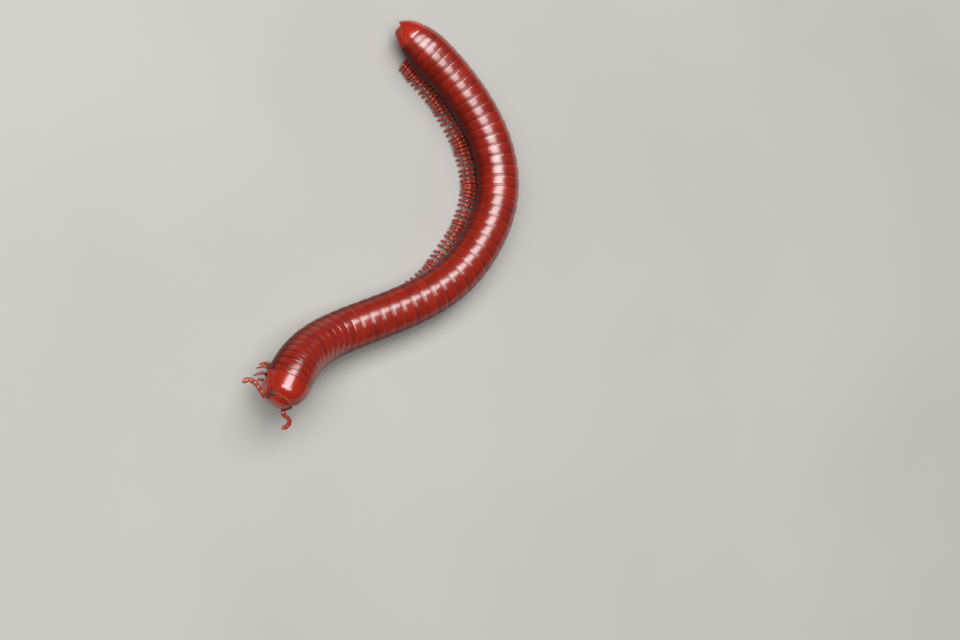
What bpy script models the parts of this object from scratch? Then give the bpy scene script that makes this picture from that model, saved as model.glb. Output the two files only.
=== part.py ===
"""A rusty millipede at life size, a still museum model: an S-bent body on its legs, with its neck raised.

Units are metres. +Z is up, the head end lies towards -Y and the tail towards +Y. The origin is on the floor,
under the middle of the model's bounding box. "s" is the distance along the body's axis, measured rearwards
from a place inside the collum, the shield behind the head, that lies 1.1 mm behind the shield's front edge.
Each place on the axis has its own frame: x forward to the head, y to the animal's left, z up.
"""

import math

import bmesh
import bpy
from mathutils import Matrix, Vector

MM = 0.001
GAP = 0.25 * MM  # left between neighbouring nodes

# The axis of the body, seen from above
AXIS_START = (-12.31 * MM, -19.37 * MM)
REARWARD_HEADING = math.radians(70.0)  # of the axis at its start, from +X
BODY_LENGTH = 60.8 * MM
BENDS = (  # s in mm, degrees of turn to the left for each mm
    (0.0, -5.3),
    (5.0, -5.26),
    (10.0, -1.56),
    (15.0, -0.1),
    (20.0, 1.6),
    (26.0, 3.6),
    (32.0, 2.8),
    (38.0, 5.4),
    (44.0, 3.8),
    (50.0, 1.9),
    (53.0, 2.0),
    (56.0, 0.3),
    (60.8, -2.0),
)

# The axis of the body, seen from the side
AXIS_HEIGHT = 3.4 * MM
NECK_PITCHES = (  # s in mm, degrees that the axis falls rearwards
    (0.0, 6.0),
    (1.5, 8.0),
    (3.4, 24.0),
    (8.5, 23.0),
    (12.5, 0.0),
)
DROOP_LENGTH = 8.0 * MM
TAIL_DROOP = math.radians(7)  # of the axis at the tail tip
AXIS_STEP = 0.1 * MM

# Body rings
RADIUS = 2.4 * MM
NECK_RADIUS = 2.48 * MM
NECK_TAPER_LENGTH = 10.0 * MM  # over which the radius falls from the neck's to the body's
TAIL_TAPER_LENGTH = 5.3 * MM
TAIL_BLUNTNESS = 0.55
BELLY_FLAT = 0.9  # the belly lies this share of the radius under the axis
COLLUM_LENGTH = 1.2 * MM
TELSON_LENGTH = 2.45 * MM
RINGS = 50  # behind the collum
RING_PITCHES = (  # share of the way from the collum to the telson, length of a ring there in mm
    (0.0, 0.64),
    (0.06, 0.70),
    (0.12, 0.84),
    (0.20, 1.10),
    (0.30, 1.31),
    (0.50, 1.40),
    (0.62, 1.27),
    (0.84, 1.18),
    (1.0, 0.88),
)
RINGS_IN_A_NODE = 5
RING_SIDES = 16
# Share of a ring's length, share of the radius: waist, shoulder, rear lip
RING_PROFILE = ((0.0, 0.93), (0.36, 1.0), (0.94, 1.012))

# Legs
SINGLE_PAIR_RINGS = 3  # rings 2 to 4 have one pair of legs each
LEGLESS_RINGS = 1  # at the rear
LEG_PLACES = (0.22, 0.66)  # share of a ring's length
SINGLE_LEG_PLACE = 0.5
LEG_SIDES = 5
LEG_RADII = (0.21 * MM, 0.245 * MM, 0.225 * MM, 0.11 * MM)  # hip, thigh, knee, foot
FULL_LEG_RING = 1.0 * MM  # on rings shorter than this, the legs are slimmer in the same measure
SLIMMEST_LEG = 0.8
HIP = (0.55 * MM, -0.78 * RADIUS)  # sideways, up
THIGH = (1.3 * MM, -2.56 * MM)
KNEE = (2.72 * MM, -2.50 * MM)
KNEE_TUCK = 0.35 * RADIUS  # how much lower the knee would lie on a leg held straight down
FOOT_OUT = 3.2 * MM
LEG_SWING = 0.36 * MM  # of the foot, fore and aft, as waves run along the rows of legs
THIGH_SWING, KNEE_SWING = 0.2, 0.55  # shares of the foot's swing
LEG_LIFT = 0.55 * MM  # of the foot in the middle of a wave
FEELER_RINGS = 3  # the first legs reach forwards and up, as if for a hold
FEELER_SWING = 1.5 * MM
FEELER_LIFT = 0.8 * MM
KNEE_LIFT = 0.5  # share of the foot's lift
PLANT_LIMIT = 0.4 * MM  # how much higher than AXIS_HEIGHT the axis may be for a foot to reach the floor
REACHES = (  # s in mm, how far the legs of the right and left side spread, as a share of FOOT_OUT
    (3.3, 0.86, 0.58),
    (4.0, 0.46, 0.56),
    (8.0, 0.50, 0.60),
    (18.0, 0.54, 0.62),
    (24.0, 0.80, 0.78),
    (29.0, 0.98, 0.90),
    (44.0, 1.0, 0.94),
    (52.0, 0.90, 0.94),
    (60.8, 0.85, 0.92),
)

# The head and the collum's edge look a little to the right and lean to the left
FACE_TURN, FACE_ROLL = math.radians(-12), math.radians(-12)

# Collum: a dome that hoods the head. Its cuts are placed in the frame at s = 0, turned to the face.
DOME_RADIUS = 2.5 * MM
DOME_SIDES = (-1.2 * MM, 2.75 * MM)  # where they start to close in, length from there to the tip
DOME_TOP = (-0.1 * MM, 1.65 * MM)
DOME_ROWS = (-1.05, -0.5, 0.1, 0.6, 1.05, 1.4)  # forwards, mm
MARGIN_PLACE = (4.58 * MM, 0, 0)  # an ellipsoid that cuts the front edge
MARGIN_SIZE = (3.5 * MM, 9.0 * MM, 9.0 * MM)
BROW_PLACE = (1.5 * MM, 0, -1.3 * MM)  # an ellipsoid that cuts the lower edges
BROW_SIZE = (2.7 * MM, 8.0 * MM, 1.9 * MM)

# Head: forwards, left and up from the head's middle. Sizes are half sizes.
HEAD_PLACE = (0.32 * MM, -0.28 * MM, -0.35 * MM)  # in the frame at s = 0
HEAD_BOW = math.radians(20)  # the face looks this far below the neck's axis
HEAD_SIZE = (1.3 * MM, 1.88 * MM, 1.9 * MM)
CHEEK_PLACE = (-0.35 * MM, 1.2 * MM, -0.6 * MM)
CHEEK_SIZE = (1.05 * MM, 0.75 * MM, 1.1 * MM)
LIP_PLACE = (0.42 * MM, 0, -1.5 * MM)
LIP_SIZE = (0.45 * MM, 0.9 * MM, 0.42 * MM)
NOTCH_PLACE = (0.6 * MM, 0, -2.05 * MM)
NOTCH_SIZE = (0.8 * MM, 0.28 * MM, 0.28 * MM)
NAPE_PLACE = (-0.45 * MM, 0, -0.5 * MM)  # in the frame at s = 0
NAPE_SIZE = (0.7 * MM, 1.75 * MM, 1.25 * MM)
HEAD_SIDES, HEAD_ROWS = 16, 10
SMALL_SIDES, SMALL_ROWS = 10, 6

# Eyes: a patch on each side, beside the collum's edge
EYE_DIRECTION = (0.31, 0.69, 0.66)  # from the head's middle, as shares of its half sizes
EYE_SIZE = (0.36 * MM, 0.30 * MM, 0.26 * MM)  # half sizes: to the face, along the edge, outwards
EYE_SINK = 0.14 * MM
EYE_GAP = 0.12 * MM

# Antennae: seven joints, each thicker towards its end. Turns are from straight ahead to the left.
ANTENNA_LENGTHS = (0.28, 0.68, 0.60, 0.52, 0.52, 0.58, 0.22)  # mm
ANTENNA_TURNS = {1: (-18, 81, 88, 63, 17, -36, -68), -1: (-80, -130, -124, -116, -99, -50, 6)}
ANTENNA_PITCHES = {1: (-18, -29, -43, -42, -42, -40, -29), -1: (14, 6, -3, -9, -12, -17, -18)}
ANTENNA_RADIUS = 0.27 * MM
ANTENNA_WAIST = 0.82  # share of the radius, at the start of a joint
ANTENNA_BULGE_PLACE = 0.7  # share of a joint's length where it is thickest
ANTENNA_TIP = 0.5  # share of the radius
ANTENNA_SIDES = 6
SOCKET_DIRECTION = (0.69, 0.65, 0.32)
SOCKET_GAP = 0.15 * MM

# Telson: a short last ring, and two valves that close the hind end
TELSON_RING = (0.4 * MM, 0.8 * MM, 1.2 * MM)  # where its loops lie, behind its front
TELSON_WAIST = 0.97  # share of the body's radius, at its front
TELSON_POINT = 1.1 * MM  # how far the top of its rear edge is drawn out over the valves
VALVE_PLACE = (-1.08 * MM, 0.42 * MM, -0.3 * MM)
VALVE_SIZE = (0.86 * MM, 0.55 * MM, 1.0 * MM)

# Colours of the real animal, linear
RUST = (0.33, 0.026, 0.012)
BRIGHT_RUST = (0.47, 0.045, 0.014)
DARK_EYE = (0.016, 0.008, 0.007)
GLOSS = 0.22


def between(stations, at, column=1):
    """The value at a place, straight between the stations on either side of it."""
    for near, far in zip(stations, stations[1:]):
        if at <= far[0]:
            share = (at - near[0]) / (far[0] - near[0])
            return near[column] + max(share, 0.0) * (far[column] - near[column])
    return stations[-1][column]


def axis_pitch(s):
    rise = math.radians(between(NECK_PITCHES, s / MM))
    droop = TAIL_DROOP * max(0.0, 1 - (BODY_LENGTH - s) / DROOP_LENGTH)
    return rise + droop


def axis_points():
    """Places and headings along the axis, one for each AXIS_STEP."""
    steps = math.ceil(BODY_LENGTH / AXIS_STEP) + 1
    heading = REARWARD_HEADING
    height = AXIS_HEIGHT + sum(
        math.sin(axis_pitch((i + 0.5) * AXIS_STEP)) * AXIS_STEP
        for i in range(round(NECK_PITCHES[-1][0] * MM / AXIS_STEP))
    )
    place = Vector((*AXIS_START, height))
    points = [(place.copy(), heading)]
    for i in range(steps):
        middle = (i + 0.5) * AXIS_STEP
        turn = math.radians(between(BENDS, middle / MM)) * AXIS_STEP / MM
        along = heading + turn / 2
        pitch = axis_pitch(middle)
        place += AXIS_STEP * Vector(
            (math.cos(along) * math.cos(pitch), math.sin(along) * math.cos(pitch), -math.sin(pitch))
        )
        heading += turn
        points.append((place.copy(), heading))
    return points


AXIS = axis_points()


def frame_at(s):
    """The axis's own frame at s, as a matrix: forward, left and up."""
    step = min(max(s / AXIS_STEP, 0.0), len(AXIS) - 2)
    (a, turn_a), (b, turn_b) = AXIS[int(step)], AXIS[int(step) + 1]
    share = step - int(step)
    heading = turn_a + share * (turn_b - turn_a)
    pitch = axis_pitch(s)
    forward = Vector(
        (-math.cos(heading) * math.cos(pitch), -math.sin(heading) * math.cos(pitch), math.sin(pitch))
    )
    left = Vector((math.sin(heading), -math.cos(heading), 0))
    up = forward.cross(left)
    frame = Matrix((forward, left, up)).transposed().to_4x4()
    frame.translation = a.lerp(b, share)
    return frame


def radius_at(s):
    neck = (NECK_RADIUS - RADIUS) * max(0.0, 1 - s / NECK_TAPER_LENGTH) ** 2
    from_tip = min(1.0, (BODY_LENGTH - s) / TAIL_TAPER_LENGTH)
    return (RADIUS + neck) * math.sin(max(from_tip, 0.0) * math.pi / 2) ** TAIL_BLUNTNESS


def ring_starts():
    """s of the front of each ring behind the collum, and of the telson."""
    room = BODY_LENGTH - COLLUM_LENGTH - TELSON_LENGTH
    pitches = [between(RING_PITCHES, (i + 0.5) / RINGS) for i in range(RINGS)]
    starts = [COLLUM_LENGTH]
    for pitch in pitches:
        starts.append(starts[-1] + pitch * room / sum(pitches))
    return starts


def material(name, colour, roughness=GLOSS):
    made = bpy.data.materials.new(name)
    made.use_nodes = True
    shader = made.node_tree.nodes["Principled BSDF"]
    shader.inputs["Base Color"].default_value = (*colour, 1)
    shader.inputs["Roughness"].default_value = roughness
    shader.inputs["Metallic"].default_value = 0.0
    return made


def add_node(name, mesh, finish):
    made = bpy.data.objects.new(name, mesh)
    mesh.materials.clear()
    mesh.materials.append(finish)
    bpy.context.scene.collection.objects.link(made)


def lofted(name, loops):
    """A closed mesh through loops of points, flat at both ends."""
    shape = bmesh.new()
    rows = [[shape.verts.new(point) for point in loop] for loop in loops]
    count = len(rows[0])
    for near, far in zip(rows, rows[1:]):
        for i in range(count):
            j = (i + 1) % count
            shape.faces.new((near[i], near[j], far[j], far[i]))
    shape.faces.new(rows[0])
    shape.faces.new(rows[-1])
    return finished_mesh(name, shape)


def finished_mesh(name, shape):
    bmesh.ops.recalc_face_normals(shape, faces=shape.faces)
    bmesh.ops.triangulate(shape, faces=shape.faces)
    mesh = bpy.data.meshes.new(name)
    shape.to_mesh(mesh)
    shape.free()
    return mesh


def tube(name, points, radii, sides, flat_end=False):
    """A tapered tube through points. With flat_end its last loop is level."""
    loops = []
    across = None
    for i, (point, radius) in enumerate(zip(points, radii)):
        ahead = points[min(i + 1, len(points) - 1)] - points[max(i - 1, 0)]
        ahead = Vector((0, 0, -1)) if flat_end and i == len(points) - 1 else ahead.normalized()
        across = across or ahead.orthogonal()
        across = (across - ahead * across.dot(ahead)).normalized()
        other = ahead.cross(across)
        turns = [2 * math.pi * k / sides for k in range(sides)]
        loops.append([point + radius * (math.cos(t) * across + math.sin(t) * other) for t in turns])
    return lofted(name, loops)


def ellipsoid(name, sizes, sides, rows):
    shape = bmesh.new()
    bmesh.ops.create_uvsphere(shape, u_segments=sides, v_segments=rows, radius=1)
    bmesh.ops.scale(shape, vec=sizes, verts=shape.verts)
    return finished_mesh(name, shape)


def largest_surface(mesh):
    """Drops all but the mesh's largest closed surface."""
    shape = bmesh.new()
    shape.from_mesh(mesh)
    left, surfaces = set(shape.verts), []
    while left:
        found, queue = set(), [left.pop()]
        while queue:
            vert = queue.pop()
            found.add(vert)
            near = {edge.other_vert(vert) for edge in vert.link_edges} & left
            left -= near
            queue.extend(near)
        surfaces.append(found)
    surfaces.sort(key=len)
    bmesh.ops.delete(shape, geom=[v for some in surfaces[:-1] for v in some], context="VERTS")
    return finished_mesh(mesh.name, shape)


def combined(mesh, others, operation):
    """The mesh fused with the others, or cut by them."""
    helpers = bpy.data.collections.new("others")
    bpy.context.scene.collection.children.link(helpers)
    for other in others:
        helpers.objects.link(bpy.data.objects.new(other.name, other))
    base = bpy.data.objects.new("base", mesh)
    bpy.context.scene.collection.objects.link(base)
    boolean = base.modifiers.new("combine", "BOOLEAN")
    boolean.operand_type = "COLLECTION"
    boolean.collection = helpers
    boolean.operation = operation
    boolean.solver = "EXACT"
    graph = bpy.context.evaluated_depsgraph_get()
    result = bpy.data.meshes.new_from_object(base.evaluated_get(graph))
    for used in [base, *helpers.objects]:
        bpy.data.objects.remove(used)
    bpy.data.collections.remove(helpers)
    return largest_surface(result)


def ring_loop(s, share=1.0):
    """The body's cross-section at s, round above and flat at the belly."""
    frame, radius = frame_at(s), radius_at(s) * share
    loop = []
    for k in range(RING_SIDES):
        turn = 2 * math.pi * (k + 0.5) / RING_SIDES
        up = max(math.cos(turn), -BELLY_FLAT) * radius
        loop.append(frame @ Vector((0, math.sin(turn) * radius, up)))
    return loop


def trunk_length(name, starts):
    """A run of rings as one lofted body, each ring narrow in front and ending in a raised lip."""
    loops = []
    for start, end in zip(starts, starts[1:]):
        for place, share in RING_PROFILE:
            loops.append(ring_loop(start + place * (end - start), share))
    loops[0] = ring_loop(starts[0] + GAP / 2, RING_PROFILE[0][1])
    loops[-1] = ring_loop(starts[-1] - GAP / 2, RING_PROFILE[-1][1])
    return lofted(name, loops)


def leg(name, s, side, wave, ring, pitch):
    """One leg. Side is 1 on the left and -1 on the right, wave is its place in a wave of steps, in turns."""
    frame = frame_at(s)
    size = min(1.0, radius_at(s) / RADIUS)
    spread = between(REACHES, s / MM, 2 if side > 0 else 1)
    swing = -LEG_SWING * math.sin(2 * math.pi * wave)
    lift = LEG_LIFT * max(0.0, -math.cos(2 * math.pi * wave))
    feeling = max(0.0, 1 - ring / FEELER_RINGS)
    if feeling > 0:
        swing, lift = FEELER_SWING * feeling, FEELER_LIFT * feeling
    hip = frame @ Vector((0, side * HIP[0] * size, HIP[1] * size))
    thigh = frame @ Vector((THIGH_SWING * swing, side * THIGH[0] * spread * size, THIGH[1] * size))
    knee_up = (KNEE[1] - KNEE_TUCK * (1 - spread) + KNEE_LIFT * lift) * size
    knee = frame @ Vector((KNEE_SWING * swing, side * KNEE[0] * spread * size, knee_up))
    foot = frame @ Vector((swing, side * FOOT_OUT * spread * size, lift * feeling - AXIS_HEIGHT))
    if frame.translation.z < AXIS_HEIGHT + PLANT_LIMIT:
        foot.z = lift
    slimness = min(1.0, max(SLIMMEST_LEG, pitch / FULL_LEG_RING))
    return tube(name, [hip, thigh, knee, foot], [r * slimness for r in LEG_RADII], LEG_SIDES, flat_end=True)


def legs_of(ring, start, end):
    """The legs of one ring, numbered from 0 behind the collum."""
    if ring >= RINGS - LEGLESS_RINGS:
        return []
    places = [SINGLE_LEG_PLACE] if ring < SINGLE_PAIR_RINGS else LEG_PLACES
    made = []
    for place in places:
        wave = (ring % RINGS_IN_A_NODE + place) / RINGS_IN_A_NODE
        s = start + place * (end - start)
        for side in (1, -1):
            made.append(leg(f"leg_{ring}_{place}_{side}", s, side, wave, ring, end - start))
    return made


def build_trunk(finish):
    starts = ring_starts()
    for first in range(0, RINGS, RINGS_IN_A_NODE):
        own = starts[first : first + RINGS_IN_A_NODE + 1]
        name = f"trunk_{first // RINGS_IN_A_NODE + 1:02d}"
        legs = []
        for i, (start, end) in enumerate(zip(own, own[1:])):
            legs += legs_of(first + i, start, end)
        add_node(name, combined(trunk_length(name, own), legs, "UNION"), finish)


def grown(size, by):
    return tuple(half + by for half in size)


def mirrored(place, side):
    return (place[0], side * place[1], place[2])


def placed_ellipsoid(name, frame, place, size, fine=False):
    sides, rows = (HEAD_SIDES, HEAD_ROWS) if fine else (SMALL_SIDES, SMALL_ROWS)
    mesh = ellipsoid(name, size, sides, rows)
    mesh.transform(frame @ Matrix.Translation(place))
    return mesh


def face_turn():
    return Matrix.Rotation(FACE_TURN, 4, "Z") @ Matrix.Rotation(FACE_ROLL, 4, "X")


def head_frame():
    """x out of the face, y to the left, z to the crown."""
    return frame_at(0) @ Matrix.Translation(HEAD_PLACE) @ face_turn() @ Matrix.Rotation(HEAD_BOW, 4, "Y")


def on_head(direction, side):
    """A frame on the head's surface: x towards the face, z outwards."""
    unit = Vector(mirrored(direction, side)).normalized()
    normal = Vector(a / b for a, b in zip(unit, HEAD_SIZE)).normalized()
    ahead = (Vector((1, 0, 0)) - normal * normal.x).normalized()
    frame = Matrix((ahead, normal.cross(ahead), normal)).transposed().to_4x4()
    frame.translation = Vector(a * b for a, b in zip(unit, HEAD_SIZE))
    return head_frame() @ frame


def head_solids(by=0.0):
    """The capsule, the cheeks and the nape, grown by a distance."""
    frame = head_frame()
    solids = [placed_ellipsoid("capsule", frame, (0, 0, 0), grown(HEAD_SIZE, by), fine=True)]
    for side in (1, -1):
        solids.append(placed_ellipsoid("cheek", frame, mirrored(CHEEK_PLACE, side), grown(CHEEK_SIZE, by)))
    solids.append(placed_ellipsoid("nape", frame_at(0), NAPE_PLACE, grown(NAPE_SIZE, by)))
    return solids


def build_head(finish, eye_finish):
    """The capsule with its cheeks and notched lip, and an eye in a seat on each side."""
    frame = head_frame()
    capsule, *others = head_solids()
    others.append(placed_ellipsoid("lip", frame, LIP_PLACE, LIP_SIZE))
    cuts = [placed_ellipsoid("notch", frame, NOTCH_PLACE, NOTCH_SIZE)]
    for side, name in ((1, "eye_left"), (-1, "eye_right")):
        patch = on_head(EYE_DIRECTION, side)
        sunk = (0, 0, -EYE_SINK)
        cuts.append(placed_ellipsoid("seat", patch, sunk, grown(EYE_SIZE, EYE_GAP)))
        add_node(name, placed_ellipsoid(name, patch, sunk, EYE_SIZE), eye_finish)
    add_node("head", combined(combined(capsule, others, "UNION"), cuts, "DIFFERENCE"), finish)


def build_antenna(name, side, finish):
    """A curled row of joints, from a little off its socket."""
    socket = on_head(SOCKET_DIRECTION, side)
    place = socket @ Vector((0, 0, SOCKET_GAP))
    ahead = REARWARD_HEADING + math.pi
    points, radii = [place], [ANTENNA_WAIST * ANTENNA_RADIUS]
    for length, turn, pitch in zip(ANTENNA_LENGTHS, ANTENNA_TURNS[side], ANTENNA_PITCHES[side]):
        heading, pitch = ahead + math.radians(turn), math.radians(pitch)
        level = Vector((math.cos(heading), math.sin(heading), 0)) * math.cos(pitch)
        joint = (level + Vector((0, 0, math.sin(pitch)))) * length * MM
        points += [place + ANTENNA_BULGE_PLACE * joint, place + joint]
        radii += [ANTENNA_RADIUS, ANTENNA_WAIST * ANTENNA_RADIUS]
        place = place + joint
    radii[-1] = ANTENNA_TIP * ANTENNA_RADIUS
    add_node(name, tube(name, points, radii, ANTENNA_SIDES), finish)


def dome_loop(ahead):
    """The collum's cross-section, at a distance ahead of s = 0."""
    frame = frame_at(max(-ahead, 0.0)) @ Matrix.Translation((max(ahead, 0.0), 0, 0))
    width, height = (
        DOME_RADIUS * math.sqrt(1 - (max(ahead - middle, 0.0) / length) ** 2)
        for middle, length in (DOME_SIDES, DOME_TOP)
    )
    turns = [2 * math.pi * (k + 0.5) / RING_SIDES for k in range(RING_SIDES)]
    return [frame @ Vector((0, math.sin(turn) * width, math.cos(turn) * height)) for turn in turns]


def build_collum(finish):
    """The dome, cut in front and below so that a lobe is left on each side, and hollowed for the head."""
    loops = [dome_loop(row * MM) for row in DOME_ROWS]
    face = frame_at(0) @ face_turn()
    cuts = head_solids(GAP)
    cuts.append(placed_ellipsoid("margin", face, MARGIN_PLACE, MARGIN_SIZE, fine=True))
    cuts.append(placed_ellipsoid("brow", face, BROW_PLACE, BROW_SIZE, fine=True))
    add_node("collum", combined(lofted("collum", loops), cuts, "DIFFERENCE"), finish)


def telson_loop(start, behind):
    """The telson's cross-section, drawn out at the top towards its rear point."""
    loop = []
    for k in range(RING_SIDES):
        turn = 2 * math.pi * (k + 0.5) / RING_SIDES
        drawn = TELSON_POINT * behind / TELSON_RING[-1] * max(math.cos(turn), 0.0) ** 3
        s = start + behind + drawn
        up = max(math.cos(turn), -BELLY_FLAT)
        loop.append(frame_at(s) @ Vector((0, math.sin(turn) * radius_at(s), up * radius_at(s))))
    return loop


def build_telson(finish):
    start = ring_starts()[-1]
    loops = [ring_loop(start + GAP / 2, TELSON_WAIST)]
    loops += [telson_loop(start, behind) for behind in TELSON_RING]
    valves = [
        placed_ellipsoid("valve", frame_at(start), mirrored(VALVE_PLACE, side), VALVE_SIZE)
        for side in (1, -1)
    ]
    add_node("telson", combined(lofted("telson", loops), valves, "UNION"), finish)


def main():
    for old in list(bpy.data.objects):
        bpy.data.objects.remove(old)
    rust = material("rust_shell", RUST)
    bright = material("bright_rust_shell", BRIGHT_RUST)
    build_trunk(rust)
    build_collum(bright)
    build_head(bright, material("dark_eye", DARK_EYE))
    build_antenna("antenna_left", 1, bright)
    build_antenna("antenna_right", -1, bright)
    build_telson(bright)


main()
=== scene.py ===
# A rusty millipede at life size, posed as in the photograph.
# Pieces are modelled in millimetres and made metres when each is finished. Every place on the body
# has a frame of its own: x forward to the head, y to the animal's left, z up.
import math
import random

import bmesh
import bpy
from mathutils import Matrix, Vector


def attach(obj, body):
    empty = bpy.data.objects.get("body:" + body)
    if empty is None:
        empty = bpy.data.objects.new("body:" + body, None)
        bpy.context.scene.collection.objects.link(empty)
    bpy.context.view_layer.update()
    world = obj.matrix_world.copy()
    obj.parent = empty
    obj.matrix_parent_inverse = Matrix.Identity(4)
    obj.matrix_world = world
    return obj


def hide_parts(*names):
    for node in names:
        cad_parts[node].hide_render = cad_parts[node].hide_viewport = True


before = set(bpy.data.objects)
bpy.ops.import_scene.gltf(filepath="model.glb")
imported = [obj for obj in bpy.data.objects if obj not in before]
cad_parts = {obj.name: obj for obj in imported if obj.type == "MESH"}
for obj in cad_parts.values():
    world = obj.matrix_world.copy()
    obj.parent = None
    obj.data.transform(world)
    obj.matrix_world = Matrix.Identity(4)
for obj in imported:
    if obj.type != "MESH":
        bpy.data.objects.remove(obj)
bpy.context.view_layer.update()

mm = 0.001
nearEnough = 0.001  # when a row of points is picked by its place
dice = random.Random(11)


# The body's axis, the same curve as the frame's

axisPlan = {
    "start": (-12.31, -19.37),  # in plan
    "heading": 70.0,  # rearwards from +X, degrees
    "length": 60.8,
    "bends": (  # distance behind the start, degrees of turn to the left for each mm
        (0.0, -5.3), (5.0, -5.26), (10.0, -1.56), (15.0, -0.1), (20.0, 1.6), (26.0, 3.6),
        (32.0, 2.8), (38.0, 5.4), (44.0, 3.8), (50.0, 1.9),
        (53.0, 2.0), (56.0, 0.3), (60.8, -2.0),
    ),
    "height": 3.4,  # above the floor, behind the raised neck
    "neckPitches": (  # distance behind the start, degrees that the axis falls rearwards
        (0.0, 6.0), (1.5, 8.0), (3.4, 24.0), (8.5, 23.0), (12.5, 0.0),
    ),
    "droopLength": 8.0,
    "tailDroop": 7.0,  # degrees, at the tip
    "step": 0.1,
}

bodyPlan = {
    "radius": 2.4,
    "neckRadius": 2.48,
    "neckTaper": 10.0,
    "tailTaper": 5.3,
    "tailBluntness": 0.55,
    "collumLength": 1.2,
    "telsonLength": 2.45,
    "rings": 50,
    "ringsInANode": 5,
    "ringPitches": (  # share of the way from the collum to the telson, length of a ring there
        (0.0, 0.64), (0.06, 0.70), (0.12, 0.84), (0.20, 1.10), (0.30, 1.31), (0.50, 1.40),
        (0.62, 1.27), (0.84, 1.18), (1.0, 0.88),
    ),
}


def between(stations, at, column=1):
    # the value at a place, straight between the stations on either side of it
    for near, far in zip(stations, stations[1:]):
        if at <= far[0]:
            share = (at - near[0]) / (far[0] - near[0])
            return near[column] + max(share, 0.0) * (far[column] - near[column])
    return stations[-1][column]


def clamp(value):
    return min(1.0, max(0.0, value))


def hump(value):
    return math.exp(-(value**2))


def frameOf(x, y, z, origin):
    made = Matrix((x, y, z)).transposed().to_4x4()
    made.translation = origin
    return made


def turned(degrees, axis):
    return Matrix.Rotation(math.radians(degrees), 4, axis)


def axisPitch(s):
    rise = between(axisPlan["neckPitches"], s)
    droop = axisPlan["tailDroop"] * max(0.0, 1 - (axisPlan["length"] - s) / axisPlan["droopLength"])
    return math.radians(rise + droop)


def traceAxis():
    step = axisPlan["step"]
    heading = math.radians(axisPlan["heading"])
    neckSteps = round(axisPlan["neckPitches"][-1][0] / step)
    rise = sum(math.sin(axisPitch((i + 0.5) * step)) * step for i in range(neckSteps))
    place = Vector((*axisPlan["start"], axisPlan["height"] + rise))
    points = [(place.copy(), heading)]
    for i in range(math.ceil(axisPlan["length"] / step) + 1):
        middle = (i + 0.5) * step
        turn = math.radians(between(axisPlan["bends"], middle)) * step
        along, pitch = heading + turn / 2, axisPitch(middle)
        level = Vector((math.cos(along), math.sin(along), 0)) * math.cos(pitch)
        place += step * (level - Vector((0, 0, math.sin(pitch))))
        heading += turn
        points.append((place.copy(), heading))
    return points


axisPoints = traceAxis()


def axisFrame(s):
    step = min(max(s / axisPlan["step"], 0.0), len(axisPoints) - 2)
    (a, headingA), (b, headingB) = axisPoints[int(step)], axisPoints[int(step) + 1]
    share = step - int(step)
    heading, pitch = headingA + share * (headingB - headingA), axisPitch(s)
    level = Vector((-math.cos(heading), -math.sin(heading), 0)) * math.cos(pitch)
    forward = level + Vector((0, 0, math.sin(pitch)))
    left = Vector((math.sin(heading), -math.cos(heading), 0))
    return frameOf(forward, left, forward.cross(left), a.lerp(b, share))


def bodyRadius(s):
    neck = (bodyPlan["neckRadius"] - bodyPlan["radius"]) * max(0.0, 1 - s / bodyPlan["neckTaper"]) ** 2
    fromTip = clamp((axisPlan["length"] - s) / bodyPlan["tailTaper"])
    return (bodyPlan["radius"] + neck) * math.sin(fromTip * math.pi / 2) ** bodyPlan["tailBluntness"]


def ringEdges():
    room = axisPlan["length"] - bodyPlan["collumLength"] - bodyPlan["telsonLength"]
    count = bodyPlan["rings"]
    pitches = [between(bodyPlan["ringPitches"], (i + 0.5) / count) for i in range(count)]
    edges = [bodyPlan["collumLength"]]
    for pitch in pitches:
        edges.append(edges[-1] + pitch * room / sum(pitches))
    return edges


edgesOfRings = ringEdges()


# Modelling helpers

def clearSelection():
    active = bpy.context.view_layer.objects.active
    if active and active.mode != "OBJECT":
        bpy.ops.object.mode_set(mode="OBJECT")
    bpy.ops.object.select_all(action="DESELECT")


def selectOnly(*pieces):
    clearSelection()
    for piece in pieces:
        piece.select_set(True)
    bpy.context.view_layer.objects.active = pieces[0]


def startPiece(name):
    # names the primitive just added and opens it for editing, all selected
    piece = bpy.context.active_object
    piece.name = piece.data.name = name
    bpy.ops.object.mode_set(mode="EDIT")
    selectAll()
    return piece


def selectAll():
    bpy.ops.mesh.select_all(action="SELECT")


def pick(piece, test, kind="VERT"):
    # in edit mode, selects the vertices or faces whose place passes the test
    bpy.ops.mesh.select_mode(type=kind)
    bpy.ops.mesh.select_all(action="DESELECT")
    shape = bmesh.from_edit_mesh(piece.data)
    for part in shape.verts if kind == "VERT" else shape.faces:
        part.select_set(test(part.co if kind == "VERT" else part.calc_center_median()))
    shape.select_flush_mode()
    bmesh.update_edit_mesh(piece.data)


def extrudeAlong(rows):
    # extrudes the selected loop from the first row on, to each row's place along x and its radius
    for (nearX, nearRadius), (x, radius) in zip(rows, rows[1:]):
        bpy.ops.mesh.extrude_region_move(TRANSFORM_OT_translate={"value": (x - nearX, 0, 0)})
        growth = radius / nearRadius
        bpy.ops.transform.resize(value=(1, growth, growth), center_override=(x, 0, 0))


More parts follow.
